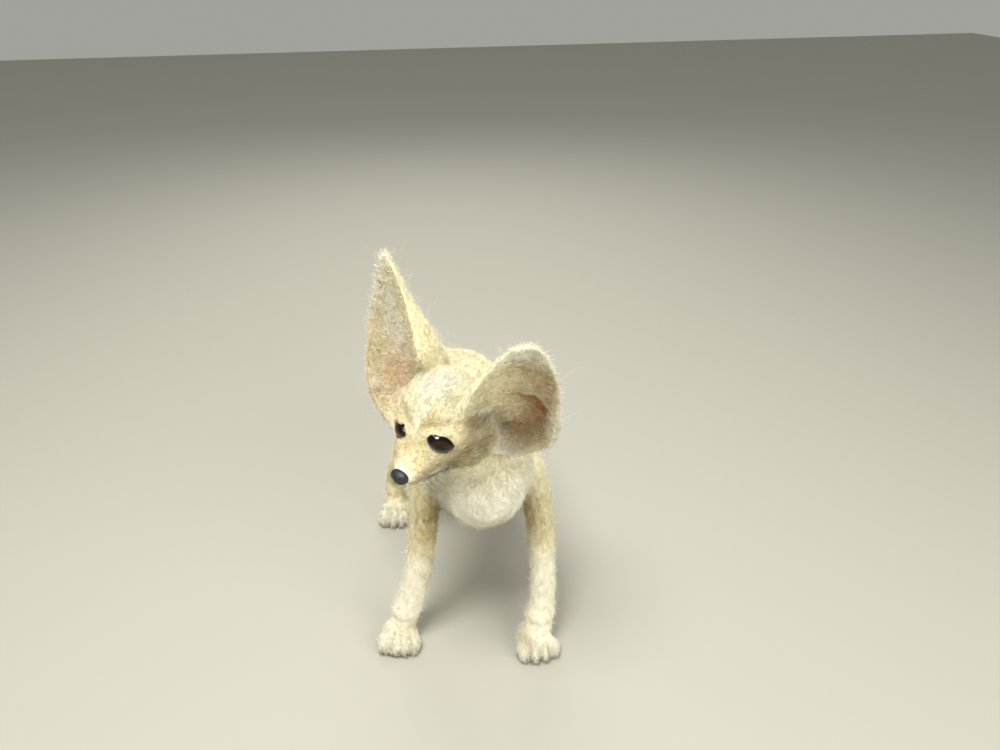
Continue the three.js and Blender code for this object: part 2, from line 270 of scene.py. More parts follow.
solidPoints, solidFaces, solidOwner = gathered(nodeNames)
rough = bmesh.new()
roughMesh = bpy.data.meshes.new("rough")
roughMesh.from_pydata(solidPoints.tolist(), [], solidFaces.tolist())
rough.from_mesh(roughMesh)
bmesh.ops.remove_doubles(rough, verts=rough.verts, dist=skinSetup["weld"])
rough.normal_update()
for vertex in rough.verts:
    vertex.co += vertex.normal * skinSetup["swell"]
rough.to_mesh(roughMesh)
rough.free()
block = bpy.data.objects.new("rough", roughMesh)
bpy.context.scene.collection.objects.link(block)
voxels = block.modifiers.new("voxels", "REMESH")
voxels.mode = "VOXEL"
voxels.voxel_size = skinSetup["voxel"]
shell = bpy.data.meshes.new_from_object(block.evaluated_get(bpy.context.evaluated_depsgraph_get()))
bpy.data.objects.remove(block)
skinPoints = np.empty(len(shell.vertices) * 3)
shell.vertices.foreach_get("co", skinPoints)
skinPoints = skinPoints.reshape(-1, 3)
skinQuads = np.empty(len(shell.loops), int)
shell.loops.foreach_get("vertex_index", skinQuads)
skinQuads = skinQuads.reshape(-1, 4)
skinEdges = np.empty(len(shell.edges) * 2, int)
shell.edges.foreach_get("vertices", skinEdges)
skinEdges = skinEdges.reshape(-1, 2)
print("skin:", len(skinPoints), "points,", len(skinQuads), "quads")

# which solid each point of the skin belongs to, from the nearest triangle
tree = BVHTree.FromPolygons(solidPoints.tolist(), solidFaces.tolist())
nearest = np.array([tree.find_nearest(p)[2] for p in skinPoints.tolist()])
owner = solidOwner[nearest]


def share(*starts, rounds=12):
    # 1 on the skin of the solids whose names start so, 0 elsewhere, with a soft edge
    numbers = [i for i, n in enumerate(nodeNames) if n.startswith(starts)]
    return relax(np.isin(owner, numbers), rounds)[:, 0]


def step(x):
    # 3 x^2 - 2 x^3, from 0 at 0 to 1 at 1
    x = np.clip(x, 0, 1)
    return x * x * (3 - 2 * x)


def bell(x):
    # e to the minus x^2
    return np.exp(-x * x)


def nearCurve(points, curve):
    # distance from each point to the nearest place on a run of straight pieces
    best = np.full(len(points), np.inf)
    for a, b in zip(curve[:-1], curve[1:]):
        a, b = np.array(a, float), np.array(b, float)
        t = np.clip(((points - a) @ (b - a)) / ((b - a) @ (b - a)), 0, 1)
        best = np.minimum(best, np.linalg.norm(points - a - t[:, None] * (b - a), axis=1))
    return best


onHead = share("head", "muzzle", "jaw", "eye", "nose")
onEar = share("ear")
onPaw = share("forepaw", "hindpaw")
skinPoints = relax(skinPoints, skinSetup["smoothing"], skinSetup["toward"], skinSetup["away"])
skinNormals = normals(skinPoints, skinQuads)
depth = skinSetup["coatDepth"]
inset = (skinSetup["swell"] + depth["body"] + (depth["head"] - depth["body"]) * onHead
         + (depth["ear"] - depth["body"]) * onEar + (depth["paw"] - depth["body"]) * onPaw)
skinPoints = skinPoints - skinNormals * inset[:, None]

# Eyes: the skin goes behind the glass, and a roll of felt frames it as the lids. Lengths are in mm, and
# places are shares of the almond outline.
eyeSetup = {"half": (8.25, 6.5, 5.8), "turn": 37, "slant": 26, "sink": 3.0, "pinch": 0.35,
            "upperLid": 1.7, "lowerLid": 0.8, "lidPlace": 1.1, "lidWidth": 0.16,
            "frontDepth": 4, "reach": 2.4, "hollowPlace": 0.7, "hollowEdge": 0.28,
            "open": {"left": 0.93, "right": 0.84}}  # how far the lids stand open


def eyeAxes(side):
    sign = 1 if side == "left" else -1
    return headAxes @ turned("z", sign * eyeSetup["turn"]) @ turned("y", sign * eyeSetup["slant"])


def aroundEye(side):
    # places in the eye's own axes, and 1 on its almond outline, under 1 inside it
    local = (skinPoints - eyeMiddles[side]) @ eyeAxes(side) / mm
    across, _, rise = eyeSetup["half"]
    # the almond: an ellipse pinched toward its two corners
    pinch = 1 + eyeSetup["pinch"] * (local[:, 0] / across) ** 2
    almond = np.sqrt((local[:, 0] / across) ** 2 + (local[:, 2] * pinch / rise) ** 2)
    return local, almond / eyeSetup["open"][side]


for side in ("left", "right"):
    local, almond = aroundEye(side)
    front = (local[:, 1] < eyeSetup["frontDepth"]) & (almond < eyeSetup["reach"])
    behind = (1 - step((almond - eyeSetup["hollowPlace"]) / eyeSetup["hollowEdge"])) * front
    lid = bell((almond - eyeSetup["lidPlace"]) / eyeSetup["lidWidth"]) * front
    moreAbove = eyeSetup["upperLid"] - eyeSetup["lowerLid"]
    lift = eyeSetup["lowerLid"] + moreAbove * step(local[:, 2] / 3 + 0.5)
    outward = eyeAxes(side) @ np.array([0, -1, 0])
    skinPoints += outward * ((lid * lift - behind * eyeSetup["sink"]) * mm)[:, None]


noseSetup = {"middle": (0, -47, -12.4), "half": (6.0, 4.3, 4.5), "flare": 0.12,
             "nostril": {"at": 2.7, "width": 0.9, "depth": 1.3}}


# Folds of the face, cut or raised along short curves in the head frame, in millimetres
def bothSides(curve):
    return [curve, [(-x, y, z) for x, y, z in curve]]


mouth = {"line": [(0, -51, -17.5), (0, -43, -20), (0, -36, -22.5), (0, -29, -23.5), (0, -21, -24)],
         "width": 1.1, "depth": 1.6}  # as seen from the side
faceCurves = {  # a negative depth raises the felt
    "philtrum": {"curves": [[(0, -51, -15), (0, -50, -18.5)]], "width": 0.9, "depth": 0.9},
    "browFold": {"curves": bothSides([(3, -28, 10), (6.5, -25, 13), (10, -22.5, 14.2), (15, -20, 13.6),
                                      (21, -14, 11)]), "width": 1.9, "depth": 0.9},
    "browRidge": {"curves": bothSides([(5, -23, 17.5), (12, -19, 18), (20, -13, 15)]),
                  "width": 3.4, "depth": -0.9},
    "cheekbone": {"curves": bothSides([(12, -30, -5), (20, -22, -8), (25, -12, -10)]),
                  "width": 4.0, "depth": -0.8},
    "lip": {"curves": bothSides([(4, -46, -15.5), (9, -38, -17.5), (13, -29, -18.5)]),
            "width": 2.6, "depth": -0.8},
}
skinNormals = normals(skinPoints, skinQuads)
headPoints = toHead(skinPoints)
close = np.linalg.norm(headPoints, axis=1) < 75  # near enough to the middle of the skull to be face
mouthLine = nearCurve(headPoints * (0, 1, 1), mouth["line"])
mouthLine = np.where((onHead > 0.2) & close, mouthLine, np.inf)
skinPoints -= skinNormals * (mouth["depth"] * mm * bell(mouthLine / mouth["width"]))[:, None]
for fold in faceCurves.values():
    for curve in fold["curves"]:
        cut = fold["depth"] * mm * bell(nearCurve(headPoints[close], curve) / fold["width"])
        skinPoints[close] -= skinNormals[close] * cut[:, None]

# Toes: three grooves over the front of each paw, and a crease round the wrist
toes = {"spread": 6.9, "width": 1.6, "depth": 1.9,
        "groove": [(1, 0.5, 0), (1, 1.5, 6), (0.95, 5, 11), (0.85, 11, 15)],  # share of spread, back, up
        "wristHeight": 21, "wristWidth": 2.2, "wristDepth": 0.9, "rollAbove": 5, "rollShare": 0.8}
pawTurns = {"forepaw_left": 0, "forepaw_right": -14, "hindpaw_left": 6, "hindpaw_right": -8}
up = skinPoints[:, 2] / mm
toeGrooves = np.full(len(skinPoints), np.inf)
for name, turn in pawTurns.items():
    low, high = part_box(name)
    foot = np.array([(low[0] + high[0]) / 2, low[1], 0])
    local = (skinPoints - foot) @ turned("z", turn) / mm
    for gap in (-1, 0, 1):
        x = gap * toes["spread"]
        curve = [(x * narrow, behind, above) for narrow, behind, above in toes["groove"]]
        toeGrooves = np.minimum(toeGrooves, nearCurve(local, curve))
toeGrooves = np.where(onPaw > 0.3, toeGrooves, np.inf)
wrist = (bell((up - toes["wristHeight"]) / toes["wristWidth"]) - toes["rollShare"]
         * bell((up - toes["wristHeight"] - toes["rollAbove"]) / (1.5 * toes["wristWidth"])))
wrist = toes["wristDepth"] * wrist * share("lower_foreleg", "shank", "forepaw", "hindpaw")
skinNormals = normals(skinPoints, skinQuads)
skinPoints -= skinNormals * ((toes["depth"] * bell(toeGrooves / toes["width"]) + wrist) * mm)[:, None]

# Ears: places in millimetres along and across each blade, and how far a point faces into the hollow
ears = {
    "left": {"root": (29, 8, -3), "tip": (66, -1, 75), "outward": 46, "sign": 1, "pocket": 1},
    "right": {"root": (-29, 6, -6), "tip": (-44, 18, 87), "outward": 10, "sign": -1, "pocket": 0.2},
}
concha = {  # the deep pocket of the ear, an arc that opens toward the cheek
    "pocket": [(11, 26), (16, 29), (20, 25), (20.5, 14), (17, 0), (9, -7)], "width": 4.2, "depth": 2.3,
    "lip": [(9, 31.5), (16.5, 34), (25, 28), (25.5, 13)], "lipWidth": 2.2, "lipDepth": 0.9,
}
for side, ear in ears.items():
    root, tip = np.array(ear["root"], float), np.array(ear["tip"], float)
    angle = math.radians(ear["outward"])
    ear["lean"] = unit(tip - root)
    ear["hollow"] = unit(np.array([ear["sign"] * math.sin(angle), -math.cos(angle), -0.15]))
    ear["side"] = unit(np.cross(ear["lean"], ear["hollow"]))
    ear["side"] *= ear["sign"] * np.sign(ear["side"][0])  # toward the outer rim
    ear["length"] = np.linalg.norm(tip - root)
    away = toHead(skinPoints) - root
    ear["flat"] = np.column_stack([away @ ear["side"], away @ ear["lean"]])
    ear["on"] = relax(owner == nodeNames.index("ear_" + side), 6)[:, 0]
    ear["inside"] = step(((skinNormals @ headAxes) @ ear["hollow"] + 0.05) / 0.5) * ear["on"]
    pocket = bell(nearCurve(ear["flat"], concha["pocket"]) / concha["width"])
    lip = bell(nearCurve(ear["flat"], concha["lip"]) / concha["lipWidth"])
    raised = concha["lipDepth"] * lip - concha["depth"] * pocket
    skinPoints += skinNormals * (ear["inside"] * ear["pocket"] * raised * mm)[:, None]
skinPoints[:, 2] = np.maximum(skinPoints[:, 2], 0.3 * mm)  # the soles stay just clear of the floor
skinNormals = normals(skinPoints, skinQuads)
headPoints = toHead(skinPoints)
up = skinPoints[:, 2] / mm

# Markings: coloured wools laid on in soft patches
wools = {name: linear(value) for name, value in {
    "ivory": "#F8F0CE", "white": "#FDFBEE", "cream": "#FAF0CA", "beige": "#E2D4A0", "tan": "#A98F45",
    "olive": "#7A6628", "brown": "#6A4F2A", "dark": "#2B1C12", "pink": "#E8BC9C", "greyPink": "#E2D2B8",
    "rust": "#B36C34", "orange": "#BF6A26", "mouth": "#33271A"}.items()}
coat = np.tile(wools["ivory"], (len(skinPoints), 1))


def lay(wool, amount):
    # coat * (1 - amount) + wool * amount at each point, with amount kept from 0 to 1
    amount = np.clip(amount, 0, 1)[:, None]
    coat[:] = coat * (1 - amount) + wools[wool] * amount


def patch(points, at, reach):
    # e to the minus sum of (distance / reach)^2 over the three axes
    return np.exp(-(((points - np.array(at)) / np.array(reach)) ** 2).sum(1))


solidWools = (  # solids whose names start so, wool, amount
    ("chest", "white", 0.9), ("jaw", "white", 0.4), ("forepaw", "white", 0.7), ("hindpaw", "white", 0.7),
    ("tail_tip", "brown", 0.8), ("tail_middle", "beige", 0.6), ("belly", "white", 0.4),
    ("rump", "beige", 0.25), ("thigh", "beige", 0.45), ("shank", "beige", 0.4), ("neck", "cream", 0.6),
    ("lower_foreleg", "white", 0.6), ("upper_foreleg", "cream", 0.5),
)
for name, wool, amount in solidWools:
    lay(wool, amount * share(name, rounds=30))
onTrunk = share("chest", "belly", "rump", "neck", rounds=20)
lay("cream", 0.7 * onTrunk * step((up - 130) / 40))
# painted shade: tan on the underside of the trunk, more where the surface faces down
lay("tan", 0.45 * onTrunk * step((-skinNormals[:, 2] - 0.2) / 0.5))
lay("beige", 0.35 * onTrunk * step((up - 150) / 30) * step((skinPoints[:, 1] / mm - 10) / 60))
bodyPatches = (  # solid, wool, place in its box from 0 to 1, reach in mm, amount
    ("upper_foreleg_left", "tan", (0.1, 0.2, 0.35), (13, 16, 20), 0.75),
    ("upper_foreleg_right", "tan", (0.8, 0.2, 0.35), (15, 18, 24), 0.95),
    ("upper_foreleg_right", "olive", (0.95, 0.3, 0.5), (12, 15, 20), 0.8),
    ("upper_foreleg_left", "olive", (0.0, 0.3, 0.5), (8, 12, 14), 0.4),
    ("lower_foreleg_left", "tan", (0.0, 0.5, 0.8), (6, 20, 22), 0.4),
    ("lower_foreleg_right", "tan", (0.9, 0.5, 0.7), (7, 20, 24), 0.35),
    ("shank_right", "tan", (0.2, 0.5, 0.4), (14, 20, 18), 0.55),
    ("shank_left", "tan", (0.8, 0.5, 0.4), (14, 20, 18), 0.55),
    ("forepaw_left", "tan", (0.1, 0.5, 0.9), (10, 12, 4), 0.4),
    ("forepaw_right", "tan", (0.9, 0.5, 0.9), (10, 12, 4), 0.4),
)
for name, wool, at, reach, amount in bodyPatches:
    low, high = (np.array(c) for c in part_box(name))
    lay(wool, amount * patch(skinPoints / mm, (low + (high - low) * np.array(at)) / mm, reach))

headPatches = (  # wool, place in the head frame, reach, amount; laid on both sides
    ("white", (0, -4, 25), (15, 17, 10), 0.9), ("white", (1, -27, 11), (4.5, 8, 8), 0.5),
    ("beige", (15, -23, 8), (11, 8, 9), 0.75),
    ("tan", (25, -8, 9), (7, 8, 8), 0.75), ("olive", (27, 0, 6), (5, 7, 7), 0.6),
    ("brown", (28.5, 4, -1), (4, 6, 5), 0.5), ("tan", (23, -13, -10), (8, 14, 9), 0.85),
    ("olive", (25, -8, -14), (6, 9, 7), 0.55), ("tan", (19, -20, -6), (6, 8, 7), 0.5),
    ("tan", (14.5, -30, -9), (5, 9, 4.5), 0.65), ("tan", (10.5, -39, -12), (3.5, 7, 4.5), 0.55),
    ("pink", (6, -38, -6), (4, 7, 5), 0.3), ("beige", (3, -44, -8), (5, 6, 4), 0.3),
    # the olive along the lower edge of the muzzle, under the jaw and on the throat just below it is
    # painted shade
    ("olive", (14, -29, -16), (6, 11, 4.5), 0.7), ("olive", (7, -41, -17.5), (5, 9, 3.5), 0.7),
    ("olive", (16, -15, -22), (9, 14, 6), 0.9), ("tan", (15, 5, -22), (10, 14, 7), 0.6),
    ("tan", (9, -26, 6), (3, 4, 3), 0.45), ("beige", (6, -33, 0), (7, 10, 7), 0.8),
    ("olive", (12, -22, -30), (14, 18, 4.5), 0.5), ("white", (0, -20, -33), (10, 16, 4), 0.5),
)
mirrored = np.column_stack([np.abs(headPoints[:, 0]), headPoints[:, 1:]])
for wool, at, reach, amount in headPatches:
    lay(wool, amount * patch(mirrored, at, reach) * (1 - onEar * 0.8))
# painted shade: tan along the crease of the brow fold
for curve in faceCurves["browFold"]["curves"]:
    lay("tan", 0.75 * bell(nearCurve(headPoints, curve[:4]) / 2.2))
for curve in faceCurves["philtrum"]["curves"]:
    lay("mouth", 0.8 * bell(nearCurve(headPoints, curve) / 1.1))
lay("mouth", 0.9 * bell(mouthLine / 1.2))
for side in ("left", "right"):
    local, almond = aroundEye(side)
    lay("dark", (local[:, 1] < 3) * (0.8 * (almond < 0.98) + 0.4 * bell((almond - 1) / 0.06)))

left, right = ears["left"], ears["right"]
for ear in ears.values():
    lay("cream", (ear["on"] - ear["inside"]) * 0.8)
earPatches = (  # ear, wool, place across and along, reach, amount
    ("left", "beige", (0, 30), (60, 60), 0.3), ("left", "tan", (-12, 12), (9, 17), 0.45),
    ("left", "tan", (8, 57), (14, 9), 0.5), ("left", "tan", (23, 42), (4, 14), 0.35),
    ("left", "ivory", (-2, 32), (10, 20), 0.7), ("left", "pink", (18, 46), (7, 12), 0.5),
    # the pure white on the lobe at (12, -15) and along the outer rim at (30, 20) is partly the ear's pale
    # wool and partly painted light that lifts their shade
    ("left", "pink", (14, 4), (9, 14), 0.6), ("left", "white", (12, -15), (18, 8), 1),
    ("left", "white", (30, 20), (5, 60), 0.9), ("left", "white", (0, 73), (30, 9), 0.8),
    ("left", "pink", (11, -11), (8, 4), 0.3), ("right", "greyPink", (14, 30), (60, 90), 0.6),
    ("right", "white", (10, 62), (6, 16), 0.9), ("right", "white", (12, 38), (6, 12), 0.8),
    ("right", "pink", (17, 12), (8, 14), 0.6), ("right", "beige", (26, 40), (6, 40), 0.6),
)


def layOnEar(side, wool, at, reach, amount, part="inside"):
    # amount times e to the minus (u / reach)^2 - (v / reach)^2, u across and v along from the place
    u, v = ears[side]["flat"].T
    lay(wool, ears[side][part] * amount
        * np.exp(-((u - at[0]) / reach[0]) ** 2 - ((v - at[1]) / reach[1]) ** 2))


for spot in earPatches:
    layOnEar(*spot)
# the tan and orange along the concha pocket are partly the ear's own colour and partly painted shade in
# the recess
lay("tan", left["inside"] * 0.8 * bell(nearCurve(left["flat"], concha["pocket"]) / 6))
lay("orange", left["inside"] * 0.75 * bell(nearCurve(left["flat"], concha["pocket"][:4]) / 3.4))
lay("pink", left["inside"] * 0.5 * bell(nearCurve(left["flat"], concha["pocket"][3:]) / 4))
lay("ivory", left["inside"] * 0.7 * bell(nearCurve(left["flat"], concha["lip"]) / 1.8))
layOnEar("left", "dark", (6, -6), (4.5, 4), 0.7, "on")
layOnEar("left", "brown", (-4, 1), (8, 8), 0.6, "on")
for ear in ears.values():  # a pale roll of wool all round the rim
    rim = relax(ear["inside"] * (1 - ear["inside"]), 8)[:, 0]
    lay("white", 5 * rim * step(ear["flat"][:, 1] / 10))
lay("cream", right["on"] * 0.9 * (1 - step((right["flat"][:, 0] - 2) / 4)))
layOnEar("right", "tan", (3, 14), (5, 8), 0.5, "on")
for ear in ears.values():  # white tips
    lay("white", ear["inside"] * 0.85 * step((ear["flat"][:, 1] / ear["length"] - 0.84) / 0.1))
lay("brown", 0.85 * bell(toeGrooves / 1.5) * step((12 - up) / 9))  # shade between the toes

# wool is never quite one colour: lighter and darker wisps a few millimetres across
chance = np.random.default_rng(11)
mottle = relax(chance.normal(0, 1, len(skinPoints)), 4)[:, 0]
mottle /= mottle.std()
lay("brown", 0.8 * onPaw * step((6.5 + 1.5 * mottle - up) / 4))  # painted shade along the bottom of the paws, darkest at the floor
lay("white", 0.16 * np.clip(mottle, 0, 2))
lay("tan", 0.12 * np.clip(-mottle, 0, 2))

# Lie of the wool: backward and down the body, down the legs, away from the nose, up the ears
lie = np.zeros_like(skinPoints)
noseTip = middleOf("nose")
tailRun = unit(middleOf("tail_tip") - middleOf("tail_base"))
for number, name in enumerate(nodeNames):
    here = owner == number
    if name.startswith(("head", "muzzle", "jaw", "eye", "nose")):
        lie[here] = unit(skinPoints[here] - noseTip)
    elif name.startswith("ear"):
        lie[here] = headAxes @ ears[name[4:]]["lean"]
    elif name.startswith("tail"):
        lie[here] = tailRun
    elif "paw" in name:
        lie[here] = (0, -0.8, -0.6)
    elif name in ("chest", "neck"):
        lie[here] = (0, 0.35, -0.94)
    elif name in ("belly", "rump"):
        lie[here] = (0, 0.93, -0.37)
    else:
        lie[here] = (0, 0.1, -1)
lie = lie - skinNormals * (lie * skinNormals).sum(1)[:, None]
lie = relax(lie, 14)
lie = unit(lie - skinNormals * (lie * skinNormals).sum(1)[:, None])

skin = addPiece("felted_skin", skinPoints, skinQuads, feltMaterial(), fleshNames)
paintPiece(skin, "wool", coat)
print("skin laid")

# The skin's own unwrap, which the fibres' maps are read from
bpy.context.view_layer.objects.active = skin
skin.select_set(True)
skin.data.uv_layers.new(name="unwrap")
bpy.ops.object.mode_set(mode="EDIT")
bpy.ops.mesh.select_all(action="SELECT")
bpy.ops.uv.smart_project(angle_limit=math.radians(66), island_margin=0.001)
bpy.ops.object.mode_set(mode="OBJECT")
skinUv = np.empty(len(skinQuads) * 8)
skin.data.uv_layers["unwrap"].data.foreach_get("uv", skinUv)
skinUv = skinUv.reshape(-1, 4, 2)
skinLoops = np.empty(len(skinQuads) * 4, int)
skin.data.loops.foreach_get("vertex_index", skinLoops)
skinLoops = skinLoops.reshape(-1, 4)
corners = skinPoints[skinLoops]
diagonals = corners[:, 2] - corners[:, 0], corners[:, 3] - corners[:, 1]
skinAreas = 0.5 * np.linalg.norm(np.cross(*diagonals), axis=1)
print("skin unwrapped")

# Where the loose wool lies: it keeps clear of the glass, the nose, the mouth and the floor
clearance = {"eye": 1.03, "eyeEdge": 0.12, "nose": 1.1, "noseEdge": 0.1, "floor": 0.6,
             "shortest": 0.6, "shortFrom": 9, "shortEdge": 4}  # short beside the eyes, by distance in mm
offEye, fullLength = np.ones(len(skinPoints)), np.ones(len(skinPoints))
for side in ("left", "right"):
    local, almond = aroundEye(side)
    far = step((np.linalg.norm(local, axis=1) - clearance["shortFrom"]) / clearance["shortEdge"])
    fullLength *= clearance["shortest"] + (1 - clearance["shortest"]) * far
    offEye *= np.where(local[:, 1] < 3, step((almond - clearance["eye"]) / clearance["eyeEdge"]), 1)
fromNose = np.linalg.norm((headPoints - noseSetup["middle"]) / noseSetup["half"], axis=1)
offNose = step((fromNose - clearance["nose"]) / clearance["noseEdge"])
clear = (offEye * offNose * step((up - clearance["floor"]) / 1.5) * (1 - 0.85 * bell(mouthLine / 0.8))
         * (1 - 0.6 * bell(toeGrooves / 0.9)))
face = share("head", "muzzle", "jaw", "nose", "eye", rounds=3)
paws = share("forepaw", "hindpaw", rounds=3)
trunk = share("chest", "belly", "rump", "neck", rounds=3)
earLeft, earRight = share("ear_left", rounds=3), share("ear_right", rounds=3)
legs = share("upper_foreleg", "lower_foreleg", "thigh", "shank", rounds=3)
alongBody = skinPoints[:, 1] / mm
aheadOfEyes = step((-headPoints[:, 1] - 14) / 14)
upperBody, lowerBody = step((up - 120) / 20), 1 - step((up - 120) / 20)

# Wisps of wool, each a thin three-sided spindle that leaves the felt and bends back toward it
fibreFinish = fibreMaterial()
wispSetup = {  # what every kind of wool shares, unless its own plan says otherwise
    "rings": 2, "sway": 0.35, "settle": 0.75, "curl": 0, "vary": 0.1, "dark": 0.1, "rust": 0,
}
wispShape = {"rootDepth": 0.15, "floorGap": 0.05, "flatness": 0.7, "patch": 0.003}
wispTones = {"lightShare": 0.22, "light": 0.5, "darkKeeps": 0.6, "darkAdds": 0.25}


def wisps(name, weight, plan, seed):
    # centre line: root + length * (s * start + s^2 * bend), s from 0 to 1; half width swells to the middle
    plan = {**wispSetup, **plan}
    dice = np.random.default_rng(seed)
    count = plan["count"]
    rings, curl = plan["rings"], plan["curl"]
    chanceOf = skinAreas * (weight / fullLength ** 2)[skinLoops].mean(1)
    picked = dice.choice(len(skinAreas), count, p=chanceOf / chanceOf.sum())
    a, b = dice.random(count), dice.random(count)
    blend = np.stack([(1 - a) * (1 - b), a * (1 - b), a * b, (1 - a) * b], 1)

    def at(values):
        return (values[skinLoops[picked]] * blend[:, :, None]).sum(1)

    root, normal, flow, paint = at(skinPoints), unit(at(skinNormals)), unit(at(lie)), at(coat)
    place = (skinUv[picked] * blend[:, :, None]).sum(1)
    turn = dice.normal(0, plan["wander"], count)[:, None]
    ahead = unit(flow * np.cos(turn) + np.cross(normal, flow) * np.sin(turn))
    side = unit(np.cross(normal, ahead))
    rise = np.abs(dice.normal(0, 1, count))[:, None] * plan["lift"] + 0.1
    long = (plan["length"] * mm * (0.55 + 0.9 * dice.random(count)))[:, None] * at(fullLength[:, None])
    sway = dice.normal(0, plan["sway"], count)[:, None]
    s = np.linspace(0, 1, rings + 2)
    run = s[None, :, None] * (ahead + normal * rise)[:, None]
    bent = (s ** 2)[None, :, None] * (side * sway - normal * rise * plan["settle"])[:, None]
    centre = root[:, None] - normal[:, None] * wispShape["rootDepth"] * mm + long[:, None] * (run + bent)
    if curl:  # stray hairs wave from side to side on the way out
        phase = dice.random(count)[:, None] * 2 * np.pi
        wave = np.sin(s[None] * 7 + phase) * s[None]
        lift = np.cos(s[None] * 9 + phase) * s[None]
        centre += curl * mm * (wave[:, :, None] * side[:, None] + lift[:, :, None] * normal[:, None])
    thick = (plan["width"] / 2 * mm * (0.7 + 0.6 * dice.random(count)))[:, None]
    profile = np.sin(np.pi * (s[1:-1] * 0.86 + 0.07)) ** 0.7
    ring = np.stack([side * math.cos(r) + normal * math.sin(r) * wispShape["flatness"]
                     for r in np.radians((90, 210, 330))], 1)
    middle = centre[:, 1:-1, None] + ring[:, None] * (thick * profile)[:, :, None, None]
    points = np.concatenate([centre[:, :1], middle.reshape(count, -1, 3), centre[:, -1:]], 1)
    points[:, :, 2] = np.maximum(points[:, :, 2], wispShape["floorGap"] * mm)
    each = 3 * rings + 2
    last = each - 1
    faces = [(0, 2, 1), (0, 3, 2), (0, 1, 3),
             (last - 3, last - 2, last), (last - 2, last - 1, last), (last - 1, last - 3, last)]
    for r in range(rings - 1):
        for k in range(3):
            p, q = 1 + 3 * r + k, 1 + 3 * r + (k + 1) % 3
            faces += [(p, q, q + 3), (p, q + 3, p + 3)]
    allFaces = (np.array(faces)[None] + (np.arange(count) * each)[:, None, None]).reshape(-1, 3)
    piece = addPiece(name, points.reshape(-1, 3), allFaces, fibreFinish)
    # most wisps keep the felt's colour, some are of a lighter or a darker wool
    tone = paint * (1 + dice.normal(0, plan["vary"], count))[:, None]
    kind = dice.random(count)[:, None]
    darker = plan["dark"] * (1.4 - paint.mean(1, keepdims=True))  # few of them in white wool
    light = tone * (1 - wispTones["light"]) + wools["white"] * wispTones["light"]
    tone = np.where(kind < wispTones["lightShare"], light, tone)
    dark = tone * wispTones["darkKeeps"] + wools["olive"] * wispTones["darkAdds"]
    tone = np.where(kind > 1 - darker, dark, tone)
    tone = np.where(kind > 1 - plan["rust"], wools["rust"], tone)
    paintPiece(piece, "wool", np.repeat(np.clip(tone, 0.01, 0.98), each, 0))
    # every wisp is a patch 0.003 across at its root's place on the skin's unwrap
    spread = np.zeros((each, 2))
    spread[:, 1] = np.concatenate([[0], np.repeat(s[1:-1], 3), [1]]) - 0.5
    spread[1:-1, 0] = np.tile([-0.5, 0, 0.5], rings)
    uv = (place[:, None] + spread[None] * wispShape["patch"]).reshape(-1, 2)
    corner = np.empty(len(allFaces) * 3, int)
    piece.data.loops.foreach_get("vertex_index", corner)
    bake = piece.data.uv_layers.new(name="OFBake")
    bake.data.foreach_set("uv", uv[corner].ravel())


woolPlans = {  # lengths and widths in mm
    "wool_muzzle": {"count": 9000, "length": 2.6, "width": 0.18, "lift": 0.3, "wander": 0.45,
                    "dark": 0.3, "rust": 0.05},
    "wool_head": {"count": 15000, "length": 4.2, "width": 0.24, "lift": 0.32, "wander": 0.5},
    "wool_ear_left": {"count": 13000, "length": 4.2, "width": 0.24, "lift": 0.4, "wander": 0.9},
    "wool_ear_right": {"count": 12000, "length": 4.2, "width": 0.24, "lift": 0.4, "wander": 0.9},
    "wool_breast": {"count": 12500, "length": 5.5, "width": 0.24, "lift": 0.22, "wander": 0.7,
                    "dark": 0, "vary": 0.05},
    "wool_back": {"count": 12000, "length": 6.5, "width": 0.32, "lift": 0.35, "wander": 0.6},
    "wool_legs": {"count": 14000, "length": 4.6, "width": 0.26, "lift": 0.4, "wander": 0.8},
    "wool_tail": {"count": 6000, "length": 10.0, "width": 0.38, "lift": 0.4, "wander": 0.45},
    "wool_paws": {"count": 13000, "length": 4.2, "width": 0.26, "lift": 0.4, "wander": 0.5,
                  "dark": 0.05},
    "wool_fuzz_upper": {"count": 9000, "length": 4.4, "width": 0.13, "lift": 1.2, "wander": 1.2,
                        "settle": 0.6, "dark": 0.04},
    "wool_fuzz_lower": {"count": 9000, "length": 4.0, "width": 0.13, "lift": 1.1, "wander": 1.2,
                        "settle": 0.6, "dark": 0.02},
    "wool_strays": {"count": 450, "length": 9.0, "width": 0.1, "lift": 1.1, "wander": 1.2,
                    "rings": 12, "settle": 0.5, "curl": 1.6, "dark": 0.3},
}
woolPlaces = {
    "wool_muzzle": face * clear * aheadOfEyes,
    "wool_head": face * clear * (1 - 0.9 * aheadOfEyes),
    "wool_ear_left": earLeft * clear,
    "wool_ear_right": earRight * clear,
    "wool_breast": trunk * clear * step((-alongBody - 20) / 20),
    "wool_back": trunk * clear * step((alongBody + 40) / 20),
    "wool_legs": legs * clear,
    "wool_tail": share("tail", rounds=3) * clear,
    "wool_paws": paws * clear,
    "wool_fuzz_upper": (1 - 0.9 * aheadOfEyes * onHead) * clear * upperBody,
    "wool_fuzz_lower": clear * lowerBody,
    "wool_strays": (earLeft + earRight + 0.3 * trunk + 0.25 * face * (1 - aheadOfEyes)) * clear,
}
paleWools, firstSeed = ("wool_breast", "wool_paws"), 20
for number, (name, plan) in enumerate(woolPlans.items()):
    wisps(name, woolPlaces[name], plan, firstSeed + number)
print("wool laid:", len(woolPlans), "pieces")


